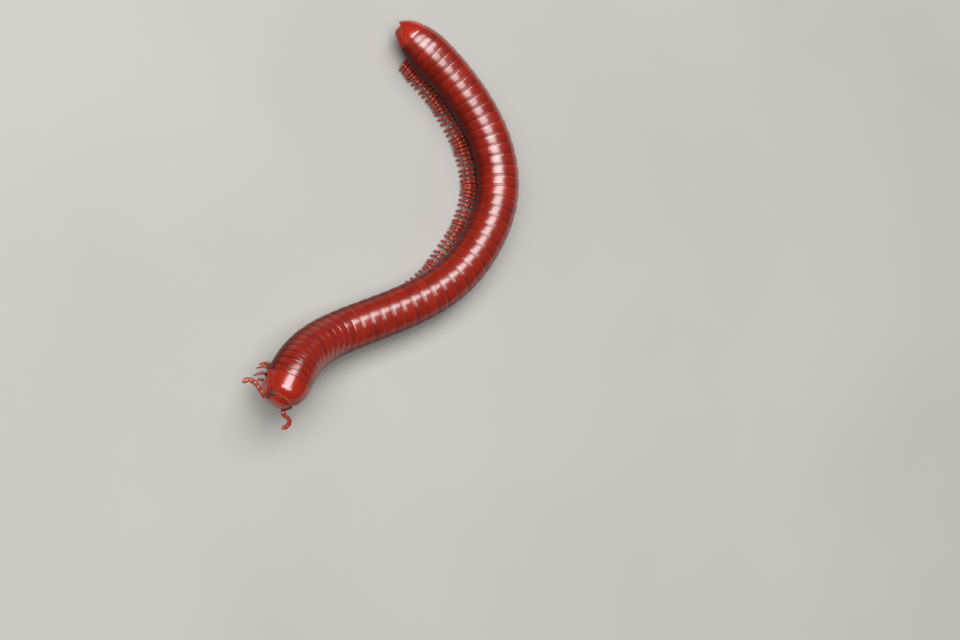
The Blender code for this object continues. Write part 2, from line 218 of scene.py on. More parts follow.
def turnedPiece(name, rows, sides, closed=False):
    # a round form about x, through rows of place and radius; a closed one comes back to its first row
    clearSelection()
    x, radius = rows[0]
    bpy.ops.mesh.primitive_circle_add(
        vertices=sides, radius=radius, location=(x, 0, 0), rotation=(0, math.pi / 2, 0)
    )
    piece = startPiece(name)
    bpy.ops.object.mode_set(mode="OBJECT")
    bpy.ops.object.transform_apply(location=True, rotation=True, scale=True)
    bpy.ops.object.mode_set(mode="EDIT")
    selectAll()
    if not closed:
        bpy.ops.mesh.edge_face_add()
        selectAll()
    extrudeAlong(rows)
    selectAll()
    bpy.ops.mesh.remove_doubles(threshold=0.0001)
    bpy.ops.mesh.normals_make_consistent(inside=False)
    return piece


def roundedBlob(name, blob, side=1, by=0.0):
    # an ellipsoid, left open for editing: place, half sizes, sides and rows; its place is mirrored
    # where side is -1, and its half sizes grow by so much
    clearSelection()
    (x, y, z), size, sides, rows = blob
    bpy.ops.mesh.primitive_uv_sphere_add(segments=sides, ring_count=rows, radius=1)
    piece = startPiece(name)
    bpy.ops.transform.resize(value=[half + by for half in size], center_override=(0, 0, 0))
    bpy.ops.transform.translate(value=(x, side * y, z))
    return piece


def closeEditing(piece, place=None):
    bpy.ops.object.mode_set(mode="OBJECT")
    if place is not None:
        piece.data.transform(place)
    return piece


def solidBlob(name, home, blob, side=1, by=0.0):
    return closeEditing(roundedBlob(name, blob, side, by), home)


def applyModifier(piece, name, kind, **settings):
    selectOnly(piece)
    modifier = piece.modifiers.new(name, kind)
    for setting, value in settings.items():
        setattr(modifier, setting, value)
    bpy.ops.object.modifier_apply(modifier=modifier.name)


def joinPieces(name, pieces):
    selectOnly(*pieces)
    if len(pieces) > 1:
        bpy.ops.object.join()
    pieces[0].name = pieces[0].data.name = name
    return pieces[0]


def copyPiece(template, place=None):
    # a copy with its own mesh; every copy gets a shade of its own
    piece = template.copy()
    piece.data = template.data.copy()
    bpy.context.scene.collection.objects.link(piece)
    if place is not None:
        piece.data.transform(place)
    writeShade(piece, dice.random())
    return piece


def discard(*pieces):
    for piece in pieces:
        bpy.data.objects.remove(piece)


def writeShade(piece, value):
    layer = piece.data.attributes.get("ownShade") or piece.data.attributes.new("ownShade", "FLOAT", "POINT")
    layer.data.foreach_set("value", [value] * len(piece.data.vertices))


def addPlaceLayer(piece):
    return piece.data.attributes.new("formPlace", "FLOAT_VECTOR", "POINT")


def writePlaces(piece, rule):
    # keeps where each point lies on its own shell or joint, for patterns that follow the form
    layer = piece.data.attributes.get("formPlace") or addPlaceLayer(piece)
    for vertex in piece.data.vertices:
        layer.data[vertex.index].vector = rule(vertex.co)


def capEnd(piece, end):
    # closes the far end, and keeps how far along the piece each point lies
    pick(piece, lambda place: place.x > end - nearEnough)
    bpy.ops.mesh.edge_face_add()
    closeEditing(piece)
    writePlaces(piece, lambda place: (clamp(place.x), 0, 0))


def markPiece(piece, shade, rule):
    writeShade(piece, shade)
    writePlaces(piece, rule)


def finishPiece(piece, material, nodes=(), sharp=50):
    piece.data.transform(Matrix.Scale(mm, 4))
    selectOnly(piece)
    bpy.ops.object.shade_smooth_by_angle(angle=math.radians(sharp))
    piece.data.materials.clear()
    piece.data.materials.append(material)
    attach(piece, "root")
    if nodes:
        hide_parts(*nodes)


# Materials

def linearColour(hexColour):
    values = [int(hexColour[i : i + 2], 16) / 255 for i in (0, 2, 4)]
    return tuple(v / 12.92 if v <= 0.04045 else ((v + 0.055) / 1.055) ** 2.4 for v in values) + (1.0,)


def addNode(tree, kind, settings):
    # adds a node: each setting is a property of it, a value for an input or an output to link to that input,
    # and "stops" are a ramp's places and colours
    node = tree.nodes.new("ShaderNode" + kind)
    for key, value in settings.items():
        if key == "stops":
            while len(node.color_ramp.elements) < len(value):
                node.color_ramp.elements.new(1.0)
            for element, (place, colour) in zip(node.color_ramp.elements, value):
                element.position, element.color = place, linearColour(colour)
        elif isinstance(key, str) and hasattr(node, key):
            setattr(node, key, value)
        elif isinstance(value, bpy.types.NodeSocket):
            tree.links.new(value, node.inputs[key])
        else:
            node.inputs[key].default_value = value
    return node


def remap(tree, value, fromRange=(0.0, 1.0), toRange=(0.0, 1.0)):
    names = ("From Min", "From Max", "To Min", "To Max")
    settings = dict(zip(names, (*fromRange, *toRange)))
    return addNode(tree, "MapRange", {**settings, "Value": value}).outputs["Result"]


def compute(tree, operation, *values):
    settings = {"operation": operation, **dict(enumerate(values))}
    return addNode(tree, "Math", settings).outputs["Value"]


def multiplyColour(tree, share, colour, by):
    settings = {"data_type": "RGBA", "blend_type": "MULTIPLY", 0: share, 6: colour, 7: by}
    return addNode(tree, "Mix", settings).outputs[2]


def addRamp(tree, value, stops):
    return addNode(tree, "ValToRGB", {"stops": stops, "Fac": value}).outputs["Color"]


def addNoise(tree, blotSize, detail=3.0):
    # blots about so many millimetres across, fixed to the object
    place = addNode(tree, "TexCoord", {}).outputs["Object"]
    settings = {"Scale": 1 / (blotSize * mm), "Detail": detail, "Vector": place}
    return addNode(tree, "TexNoise", settings).outputs["Fac"]


def addBump(tree, height, distance, **normal):
    settings = {"Strength": 1.0, "Distance": distance * mm, "Height": height, **normal}
    return addNode(tree, "Bump", settings).outputs["Normal"]


def newMaterial(name):
    made = bpy.data.materials.new(name)
    made.use_nodes = True
    made.node_tree.nodes.clear()
    return made, made.node_tree


def newCuticle(name):
    # a material with each point's place on its form, and its piece's own shade
    made, tree = newMaterial(name)
    place = addNode(tree, "Attribute", {"attribute_name": "formPlace"}).outputs["Vector"]
    shade = addNode(tree, "Attribute", {"attribute_name": "ownShade"}).outputs["Fac"]
    return made, tree, addNode(tree, "SeparateXYZ", {0: place}).outputs, shade


def addShader(tree, settings):
    shader = addNode(tree, "BsdfPrincipled", settings)
    addNode(tree, "OutputMaterial", {"Surface": shader.outputs["BSDF"]})


cuticleLook = {
    "ior": 1.6,  # tanned chitin
    "waxRoughness": 0.17,
    "blotSize": 1.6,
    "blotDetail": 4.0,
    "blotRange": (0.3, 0.7),
    "grainSize": 0.09,
    "glowRadius": (1.0, 0.25, 0.12),
    "glowScale": 0.25,  # how deep light gets into thin chitin, in mm
    "tones": (0.84, 1.10),
    "ownTones": (0.86, 1.12),
    "film": (0.35, 0.85),  # upness from where the wax film is rubbed off to where it is whole
    "shine": (0.08, 0.5),
}

ringLook = {
    "bands": (  # share of the ring's length behind its front edge, colour
        (0.00, "661209"), (0.04, "721509"), (0.15, "7C1607"), (0.185, "6C1307"), (0.22, "7E1607"),
        (0.40, "821606"), (0.88, "841607"), (0.945, "90240A"), (0.975, "92300D"), (1.00, "6A1A0A"),
    ),
    "paintedFlankShade": (0.75, 0.0),  # upness over which the flanks and belly darken: painted shade
    # painted shade: the colour multiplied in where the body turns away from the light
    "paintedShadeColour": "80483C",
    "tones": (0.82, 1.12),
    "ownTones": (0.92, 1.08),
    "grainHeight": 0.006,
    "striaSpacing": 0.17,  # the flanks' grooves; real ones are about 0.08 mm apart, and wouldn't show
    "striaDepth": 0.012,
    "striaBelow": (0.15, -0.35),
    "striaBehind": (0.30, 0.36),
    "roughness": (0.20, 0.30),
    "film": (0.45, 0.9),
    "filmBehind": (0.08, 0.20),  # the band that slides under the ring in front has less wax
    "filmInFront": 0.7,
    "filmRoughness": 0.21,  # rubbed by the soil
    "shine": (0.06, 0.5),
}


def ringCuticle():
    # chitin moulted and tanned by the animal, with a thin film of wax: deep gloss, soft-edged glints,
    # a dark front band, a rust-red bulge and an orange rear rim on each ring, and painted shade that darkens
    # the flanks and belly
    look = ringLook
    made, tree, (behind, aside, upness), shade = newCuticle("waxedRustCuticle")
    # painted shade: the ring darkens down its flanks to the belly, as if turned away from the light
    paintedFlankShade = remap(tree, upness, look["paintedFlankShade"])
    red = multiplyColour(tree, paintedFlankShade, addRamp(tree, behind, look["bands"]), linearColour(look["paintedShadeColour"]))
    blots = addNoise(tree, cuticleLook["blotSize"], cuticleLook["blotDetail"])
    blotTone = remap(tree, blots, cuticleLook["blotRange"], look["tones"])
    ringTone = remap(tree, shade, toRange=look["ownTones"])
    colour = multiplyColour(tree, 1.0, red, compute(tree, "MULTIPLY", blotTone, ringTone))
    angle = compute(tree, "ARCTAN2", aside, upness)
    waves = compute(tree, "MULTIPLY", angle, 2 * math.pi * bodyPlan["radius"] / look["striaSpacing"])
    where = compute(
        tree, "MULTIPLY", remap(tree, upness, look["striaBelow"]), remap(tree, behind, look["striaBehind"])
    )
    striae = compute(tree, "MULTIPLY", compute(tree, "SINE", waves), where)
    grain = addNoise(tree, cuticleLook["grainSize"])
    film = compute(
        tree, "MULTIPLY", remap(tree, upness, look["film"]),
        remap(tree, behind, look["filmBehind"], (look["filmInFront"], 1.0)),
    )
    addShader(tree, {
        "IOR": cuticleLook["ior"],
        "Base Color": colour,
        "Roughness": remap(tree, blots, toRange=look["roughness"]),
        "Coat Weight": film,
        "Coat Roughness": look["filmRoughness"],
        "Specular IOR Level": remap(tree, film, toRange=look["shine"]),
        "Normal": addBump(tree, grain, look["grainHeight"], Normal=addBump(tree, striae, look["striaDepth"])),
    })
    return made


def plainCuticle(name, stops, blotSize, grainHeight, roughness, glow=0.0, coat=0.3, wornBelow=False):
    # the same tanned chitin where it has no ring bands: the tone runs along the form's own length
    look = cuticleLook
    made, tree, (along, aside, upness), shade = newCuticle(name)
    blots = addNoise(tree, blotSize, look["blotDetail"])
    blotTone = remap(tree, blots, look["blotRange"], look["tones"])
    ownTone = remap(tree, shade, toRange=look["ownTones"])
    tone = compute(tree, "MULTIPLY", blotTone, ownTone)
    shine = look["shine"][1]
    if wornBelow:
        coat = remap(tree, upness, look["film"])
        shine = remap(tree, coat, toRange=look["shine"])
    addShader(tree, {
        "IOR": look["ior"],
        "Base Color": multiplyColour(tree, 1.0, addRamp(tree, along, stops), tone),
        "Roughness": roughness,
        "Coat Weight": coat,
        "Coat Roughness": look["waxRoughness"],
        "Specular IOR Level": shine,
        "Subsurface Weight": glow,
        "Subsurface Radius": look["glowRadius"],
        "Subsurface Scale": look["glowScale"] * mm,
        "Normal": addBump(tree, addNoise(tree, look["grainSize"]), grainHeight),
    })
    return made


waxedRing = ringCuticle()
# the collum and telson: thick tanned chitin without bands, orange-red and the glossiest of the body,
# its wax film worn off on the flanks; the thin paler orange line just behind the collum's front margin is a
# painted highlight on its raised rim
polishedShield = plainCuticle("polishedShieldCuticle", (
    (0.00, "8A301A"), (0.035, "A8442A"), (0.07, "961D0B"), (0.60, "941A09"), (1.00, "861808"),
), 1.2, 0.003, 0.22, wornBelow=True)
# the head: the same chitin with little wax, darker behind
headShell = plainCuticle("tannedHeadCuticle", (
    (0.00, "4A1009"), (0.35, "821609"), (0.65, "94190A"), (1.00, "9A2610"),
), 0.7, 0.005, 0.26, coat=0.25)
# leg joints: thin chitin that lets a little light through, coral red, paler where each joint widens
coralLimb = plainCuticle("thinLimbCuticle", (
    (0.00, "6A180E"), (0.12, "8A2616"), (0.60, "A03420"), (0.90, "B04834"), (1.00, "7A2014"),
), 0.5, 0.003, 0.34, glow=0.25)
# claws, teeth and the rims of the pores: hard chitin, amber to dark brown at the tips
amberClaw = plainCuticle("amberClawChitin", (
    (0.00, "7A2A12"), (0.50, "5A1E0C"), (1.00, "2A0E06"),
), 0.3, 0.001, 0.28)
# hairs and the antennae's cones: thin untanned chitin without wax, paler at the tips
paleHair = plainCuticle("paleSetaChitin", (
    (0.00, "8A4A2A"), (1.00, "C89060"),
), 0.3, 0.0, 0.45, coat=0.0)
# simple eyes: glossy domed lenses over black pigment
lensBlack = plainCuticle("pigmentedLens", (
    (0.00, "160706"), (1.00, "2C0F0C"),
), 0.2, 0.0, 0.2, coat=0.4)
print("materials made")


# Rings

ringForm = {
    "sides": 56,
    "outer": (  # share of the ring's length behind its front edge, share of the body's radius
        (-0.32, 0.925), (-0.28, 0.944), (-0.10, 0.966), (0.03, 0.977), (0.10, 0.984), (0.15, 0.988),
        (0.165, 0.987), (0.180, 0.983), (0.195, 0.983), (0.210, 0.988), (0.26, 0.994), (0.36, 0.999),
        (0.52, 1.002), (0.70, 1.004), (0.86, 1.004), (0.94, 1.002), (0.98, 0.999), (1.0, 0.992),
    ),
    "inner": ((1.0, 0.983), (0.93, 0.970), (0.60, 0.940), (0.20, 0.900), (-0.28, 0.885)),
    "reliefLength": 1.2,  # on rings shorter than this, in mm, the relief is lower
    "bellyLevel": -0.9,  # below this the round is pressed nearly flat
    "bellyPress": 0.25,
}


def makeRingTemplate():
    rows = [(-x, radius) for x, radius in ringForm["outer"] + ringForm["inner"]]
    piece = turnedPiece("ringTemplate", rows + rows[:1], ringForm["sides"], closed=True)
    level = ringForm["bellyLevel"]
    pick(piece, lambda place: place.z < level)
    bpy.ops.transform.resize(value=(1, 1, ringForm["bellyPress"]), center_override=(0, 0, level))
    closeEditing(piece)

    def rule(place):
        across = math.hypot(place.y, place.z)
        return (-place.x, place.y / across, place.z / across)

    writePlaces(piece, rule)
    return piece


def placeRing(template, start, end):
    # a stiff hoop about the axis at its own middle, its radius following the body's taper
    piece = copyPiece(template)
    middle = (start + end) / 2
    home = axisFrame(middle)
    relief = min(1.0, (end - start) / ringForm["reliefLength"]) ** 2
    for vertex in piece.data.vertices:
        ahead = vertex.co.x * (end - start) + (middle - start)
        share = math.hypot(vertex.co.y, vertex.co.z)
        radius = bodyRadius(middle - ahead) * (1 + relief * (share - 1)) / share
        vertex.co = home @ Vector((ahead, vertex.co.y * radius, vertex.co.z * radius))
    return piece


poreForm = {
    "sides": 8,
    "tone": 0.05,
    "rows": ((-0.05, 0.085), (0.012, 0.075), (0.026, 0.055), (0.010, 0.038), (-0.02, 0.030)),
    "firstRing": 4,  # counted from 0 behind the collum
    "angle": 80,  # degrees down from the top of the back
    "alongRing": 0.42,
    "radiusShare": 0.979,
}


def makePoreTemplate():
    # the mouth of a scent gland: a low rim round a pit
    piece = turnedPiece("poreTemplate", poreForm["rows"], poreForm["sides"])
    closeEditing(piece)
    writePlaces(piece, lambda place: (poreForm["tone"], 0, 0))
    return piece


def placePores(template, start, end):
    made = []
    s = start + poreForm["alongRing"] * (end - start)
    for side in (1, -1):
        turn = math.radians(side * poreForm["angle"])
        out = Vector((0, math.sin(turn), math.cos(turn)))
        ahead = Vector((1, 0, 0))
        across = frameOf(out, out.cross(ahead), ahead, out * bodyRadius(s) * poreForm["radiusShare"])
        made.append(copyPiece(template, axisFrame(s) @ across))
    return made


sterniteForm = {
    "halfSize": (0.21, 0.66, 0.10),  # along the body, across it, in depth
    "round": 0.07,
    "depth": -0.905,  # share of the radius
    "grooveHalfWidth": 0.04,
    "grooveDepth": 0.03,
}


def makeSterniteTemplate():
    # the belly plate between a pair of legs, with rounded edges and a groove along its middle
    clearSelection()
    bpy.ops.mesh.primitive_cube_add(size=2)
    piece = startPiece("sterniteTemplate")
    bpy.ops.transform.resize(value=sterniteForm["halfSize"], center_override=(0, 0, 0))
    bpy.ops.mesh.bevel(offset=sterniteForm["round"], segments=2, affect="EDGES")
    half = sterniteForm["grooveHalfWidth"]
    for y in (half, -half, 0):
        selectAll()
        bpy.ops.mesh.bisect(plane_co=(0, y, 0), plane_no=(0, 1, 0))
    pick(piece, lambda place: abs(place.y) < half / 2 and place.z < 0)
    bpy.ops.transform.translate(value=(0, 0, sterniteForm["grooveDepth"]))
    closeEditing(piece)
    # an upness of -1 gives the belly plates the rings' full painted shade
    writePlaces(piece, lambda place: (0.5, 0.0, -1.0))
    return piece


# Legs

legForm = {
    "singlePairRings": 3,  # the first rings have one pair of legs each, the others two
    "leglessRings": 1,  # the last
    "places": (0.22, 0.66),  # shares of the ring's length
    "singlePlace": 0.5,
    "hip": (0.55, -1.872),  # to the side of the axis and up from it
    "thigh": (1.3, -2.56),
    "knee": (2.72, -2.50),
    "kneeTuck": 0.84,
    "footOut": 3.2,
    "swing": 0.36,  # of the foot, forward and back in the wave of steps
    "thighSwing": 0.2,
    "kneeSwing": 0.55,
    "lift": 0.55,
    "kneeLift": 0.5,
    "plantLimit": 0.4,  # legs stand on the floor where the axis is no more than this above its height
    "reaches": (  # distance along the body, spread of the right and the left legs
        (3.3, 0.86, 0.58), (4.0, 0.46, 0.56), (8.0, 0.50, 0.60), (18.0, 0.54, 0.62),
        (24.0, 0.80, 0.78), (29.0, 0.98, 0.90), (44.0, 1.0, 0.94), (52.0, 0.90, 0.94), (60.8, 0.85, 0.92),
    ),
    "arch": 0.10,  # how far the middle joints rise over a straight line
    "slimmest": 0.8,  # legs are this much slimmer on the shortest rings
    "feelerRings": 3,  # the first legs reach forwards and up, as if for a hold
    "feelerSwing": 1.5,
    "feelerLift": 0.8,
    "clawLength": 0.20,
    "clawRadius": 0.055,
    "clawWay": (0.9, 0.25),  # shares of on along the leg and outward
    "clawForward": 0.35,
    "clawTipHeight": 0.02,
    "joints": (  # which stretch, share of it at the joint's end, radius at its widest
        ("coxa", 0, 0.62, 0.225), ("prefemur", 0, 1.0, 0.235), ("femur", 1, 0.50, 0.230),
        ("postfemur", 1, 1.0, 0.215), ("tibia", 2, 0.42, 0.185), ("tarsus", 2, 0.90, 0.140),
    ),
}

jointForm = {
    "sides": 8,
    "rows": (  # share of the joint's length, share of its radius
        (-0.06, 0.62), (0.02, 0.80), (0.20, 0.90), (0.55, 1.0), (0.82, 1.04), (0.95, 0.98), (1.02, 0.74),
    ),
    "setaLength": 0.75,  # in joint radii
    "setaRoot": 0.09,
    "setaTurns": (200, 250, 300),  # degrees about the joint, on its underside
    "setaLean": 60,
    "setaAlong": 0.82,
    "setaHeight": 1.05,
    "setaSquash": 0.35,
}


def makeJointTemplate():
    # one leg joint, waisted at its root and flared at its end, with a few short hairs under the flare
    form = jointForm
    piece = turnedPiece("jointTemplate", form["rows"], form["sides"])
    capEnd(piece, form["rows"][-1][0])
    hairs = []
    for turn in form["setaTurns"]:
        clearSelection()
        bpy.ops.mesh.primitive_cone_add(
            vertices=3, radius1=form["setaRoot"], depth=form["setaLength"], end_fill_type="NOTHING"
        )
        hair = closeEditing(startPiece("hair"))
        lean = turned(form["setaLean"], "Y")
        out = Matrix.Translation((0, 0, form["setaHeight"]))
        around = turned(turn, "X")
        flat = Matrix.Diagonal((form["setaSquash"], 1, 1, 1))
        hair.data.transform(Matrix.Translation((form["setaAlong"], 0, 0)) @ around @ flat @ out @ lean)
        writePlaces(hair, lambda place: (1.0, 1.0, 0))
        hairs.append(hair)
    return joinPieces("jointTemplate", [piece, *hairs])


clawForm = {
    "sides": 6,
    "rows": (  # share of the length, share of the root's radius, rise in root radii
        (0.0, 1.0, 0.0), (0.30, 0.85, -0.08), (0.62, 0.55, -0.32), (0.88, 0.28, -0.72), (1.0, 0.06, -1.08),
    ),
}


def makeClawTemplate():
    # a single hooked claw, one unit long and one unit in radius at its root, bent down to its tip
    rows = clawForm["rows"]
    piece = turnedPiece("clawTemplate", [(x, radius) for x, radius, rise in rows], clawForm["sides"])
    for x, radius, rise in rows:
        pick(piece, lambda place: abs(place.x - x) < nearEnough)
        bpy.ops.transform.translate(value=(0, 0, rise))
    capEnd(piece, rows[-1][0])
    return piece


def pointedAlong(start, end, upHint):
    # a frame at start with x towards end
    ahead = (end - start).normalized()
    side = upHint.cross(ahead).normalized()
    return frameOf(ahead, side, ahead.cross(side), start)


def legCorners(s, side, wave, ring):
    form = legForm
    home = axisFrame(s)
    size = min(1.0, bodyRadius(s) / bodyPlan["radius"])
    spread = between(form["reaches"], s, 2 if side > 0 else 1)
    swing = -form["swing"] * math.sin(2 * math.pi * wave)
    lift = form["lift"] * max(0.0, -math.cos(2 * math.pi * wave))
    feeling = max(0.0, 1 - ring / form["feelerRings"])
    if feeling > 0:
        swing, lift = form["feelerSwing"] * feeling, form["feelerLift"] * feeling
    reach = side * spread * size
    kneeUp = (form["knee"][1] - form["kneeTuck"] * (1 - spread) + form["kneeLift"] * lift) * size
    hip = home @ Vector((0, side * form["hip"][0] * size, form["hip"][1] * size))
    thigh = home @ Vector((form["thighSwing"] * swing, form["thigh"][0] * reach, form["thigh"][1] * size))
    knee = home @ Vector((form["kneeSwing"] * swing, form["knee"][0] * reach, kneeUp))
    foot = home @ Vector((swing, form["footOut"] * reach, lift * feeling - axisPlan["height"]))
    if home.translation.z < axisPlan["height"] + form["plantLimit"]:
        foot.z = lift
    return home, size, (hip, thigh, knee, foot)


def placeLeg(jointTemplate, clawTemplate, s, side, wave, ring, pitch):
    home, size, corners = legCorners(s, side, wave, ring)
    up = home.to_3x3() @ Vector((0, 0, 1))
    joints, near = [], corners[0]
    for name, stretch, share, radius in legForm["joints"]:
        far = corners[stretch].lerp(corners[stretch + 1], share)
        if name == "femur":
            far = far + up * legForm["arch"]
        radius *= size * min(1.0, max(legForm["slimmest"], pitch))
        length = (far - near).length
        grown = Matrix.Diagonal((length, radius, radius, 1))
        joints.append(copyPiece(jointTemplate, pointedAlong(near, far, up) @ grown))
        near = far
    clawLength = legForm["clawLength"] * size
    ahead = (corners[3] - near).normalized()
    outward = home.to_3x3() @ Vector((legForm["clawForward"], side, 0))
    on, out = legForm["clawWay"]
    tip = near + (ahead * on + outward * out).normalized() * clawLength
    tip.z = max(tip.z, legForm["clawTipHeight"])
    radius = legForm["clawRadius"] * size
    grown = Matrix.Diagonal(((tip - near).length, radius, radius, 1))
    claw = copyPiece(clawTemplate, pointedAlong(near, tip, outward) @ grown)
    return joints, claw


def keptAboveFloor(piece):
    # the feet's undersides rest flat on the floor
    for vertex in piece.data.vertices:
        vertex.co.z = max(vertex.co.z, 0.0)
    return piece


def buildTrunk():
    ringTemplate = makeRingTemplate()
    poreTemplate = makePoreTemplate()
    sterniteTemplate = makeSterniteTemplate()
    legTemplates = (makeJointTemplate(), makeClawTemplate())
    count, group = bodyPlan["rings"], bodyPlan["ringsInANode"]
    for first in range(0, count, group):
        rings, pores, sternites, joints, claws = [], [], [], [], []
        for ring in range(first, first + group):
            start, end = edgesOfRings[ring], edgesOfRings[ring + 1]
            rings.append(placeRing(ringTemplate, start, end))
            if ring >= poreForm["firstRing"]:
                pores += placePores(poreTemplate, start, end)
            if ring >= count - legForm["leglessRings"]:
                continue
            places = [legForm["singlePlace"]] if ring < legForm["singlePairRings"] else legForm["places"]
            for place in places:
                s = start + place * (end - start)
                radius = bodyRadius(s)
                size = min(1.0, radius / bodyPlan["radius"])
                plate = axisFrame(s) @ Matrix.Translation((0, 0, sterniteForm["depth"] * radius))
                sternites.append(copyPiece(sterniteTemplate, plate @ Matrix.Diagonal((size, size, 1, 1))))
                wave = (ring % group + place) / group
                for side in (1, -1):
                    made, claw = placeLeg(*legTemplates, s, side, wave, ring, end - start)
                    joints += made
                    claws.append(claw)
        number = f"{first // group + 1:02d}"
        node = f"trunk_{number}"
        finishPiece(joinPieces(f"rings_{number}", rings + sternites), waxedRing, [node])
        finishPiece(keptAboveFloor(joinPieces(f"legs_{number}", joints)), coralLimb, [node])
        finishPiece(keptAboveFloor(joinPieces(f"claws_{number}", claws)), amberClaw)
        if pores:
            finishPiece(joinPieces(f"pores_{number}", pores), amberClaw)
        print("trunk", number, "made")
    discard(ringTemplate, poreTemplate, sterniteTemplate, *legTemplates)


buildTrunk()


# Head and collum

collumForm = {
    "middle": -1.2,  # where the sides start to close in, just behind the axis's start
    "length": 2.75,  # from there to the front tip
    "topMiddle": -0.1,  # where the top starts to fall
    "topLength": 1.65,
    "radius": 2.5,
    "wall": 0.13,
    "rearEdge": -1.24,
    "hollowBeyond": 0.5,
    "cuts": (  # ellipsoids, place and half sizes: the front margin, the lower edges
        ((4.58, 0, 0), (3.5, 9.0, 9.0)),
        ((1.5, 0, -1.3), (2.7, 8.0, 1.9)),
    ),
    "headGap": 0.10,  # left clear round the head
    "voxel": 0.05,
    "rimWidth": 0.13,
    "rimHeight": 0.045,
    "toneLength": 3.0,  # from the rim on, over which its colour runs; the paler line next to the rim is a painted highlight
}

headForm = {
    "place": (0.32, -0.28, -0.35),  # in the neck's frame
    "turn": -12,  # degrees that the head and the collum's margin look to the left
    "roll": -12,  # degrees that they lean to the right
    "bow": 20,  # degrees that the face looks below the neck's axis
    # blobs in the head's frame: place, half sizes, sides and rows
    "capsule": ((0, 0, 0), (1.3, 1.88, 1.9), 64, 40),
    "cheek": ((-0.35, 1.2, -0.6), (1.05, 0.75, 1.1), 40, 24),
    "lip": ((0.42, 0, -1.5), (0.45, 0.9, 0.42), 32, 20),
    "notch": ((0.6, 0, -2.05), (0.8, 0.28, 0.28), 32, 20),
    "nape": ((-0.42, -0.1, -0.62), (0.74, 1.92, 1.45), 40, 24),  # in the neck's frame
    "voxel": 0.045,
    "seamWidth": 0.06,  # the seam down the forehead, in the head's frame
    "seamDepth": 0.022,
    "seamEnd": -0.9,
    "seamFade": 0.4,
    "mouthSeamLevel": -1.05,  # the curved seam above the upper lip
    "mouthSeamRise": 0.12,
    "mouthSeamHalf": 1.05,
    "mouthSeamWidth": 0.07,
    "mouthSeamDepth": 0.02,
    "toneMiddle": 0.5,
    "toneSlope": 0.22,
}

neckFrame = axisFrame(0)
faceTurn = turned(headForm["turn"], "Z") @ turned(headForm["roll"], "X")
faceFrame = neckFrame @ faceTurn
headBow = turned(headForm["bow"], "Y")
headFrame = neckFrame @ Matrix.Translation(headForm["place"]) @ faceTurn @ headBow


def onHead(direction, side):
    # a frame on the head's surface, x towards the face and z outwards
    size = headForm["capsule"][1]
    unit = Vector((direction[0], side * direction[1], direction[2])).normalized()
    normal = Vector(a / b for a, b in zip(unit, size)).normalized()
    ahead = (Vector((1, 0, 0)) - normal * normal.x).normalized()
    place = Vector(a * b for a, b in zip(unit, size))
    return headFrame @ frameOf(ahead, normal.cross(ahead), normal, place)


def headBlobs(by=0.0):
    capsule = solidBlob("capsule", headFrame, headForm["capsule"], 1, by)
    cheeks = [solidBlob("cheek", headFrame, headForm["cheek"], side, by) for side in (1, -1)]
    return [capsule, *cheeks, solidBlob("nape", neckFrame, headForm["nape"], 1, by)]


def cutAway(piece, cutters):
    for cutter in cutters:
        applyModifier(piece, "cut", "BOOLEAN", operation="DIFFERENCE", solver="EXACT", object=cutter)
        discard(cutter)


def bentAlongAxis(piece):
    # what lies behind the axis's start follows the axis's bend
    for vertex in piece.data.vertices:
        ahead = vertex.co.x
        if ahead < 0:
            vertex.co = axisFrame(-ahead) @ Vector((0, vertex.co.y, vertex.co.z))
        else:
            vertex.co = neckFrame @ vertex.co


def domeBlob(name, by, rear):
    form = collumForm
    middle = (form["middle"], 0, 0)
    piece = roundedBlob(name, (middle, (form["length"], form["radius"], form["radius"]), 96, 96), 1, by)
    selectAll()
    bpy.ops.mesh.bisect(plane_co=middle, plane_no=(1, 0, 0), clear_inner=True, use_fill=True)
    pick(piece, lambda place: place.x < form["middle"] + 0.01, "FACE")
    bpy.ops.mesh.extrude_region_move(TRANSFORM_OT_translate={"value": (rear - form["middle"], 0, 0)})
    closeEditing(piece)
    for vertex in piece.data.vertices:
        # the top stays high further forward than the sides stay wide
        side = max(0.0, vertex.co.x - form["middle"]) / (form["length"] + by)
        top = max(0.0, vertex.co.x - form["topMiddle"]) / (form["topLength"] + by)
        vertex.co.z *= math.sqrt(max(1 - top**2, 1e-4) / max(1 - side**2, 1e-4))
    bentAlongAxis(piece)
    return piece


def distanceOutside(point, place, size):
    # roughly how far a point lies outside an ellipsoid
    scaled = Vector(a / b for a, b in zip(point - Vector(place), size))
    slope = Vector(a / b for a, b in zip(scaled, size)).length
    return (scaled.length - 1) * scaled.length / max(slope, 0.001)


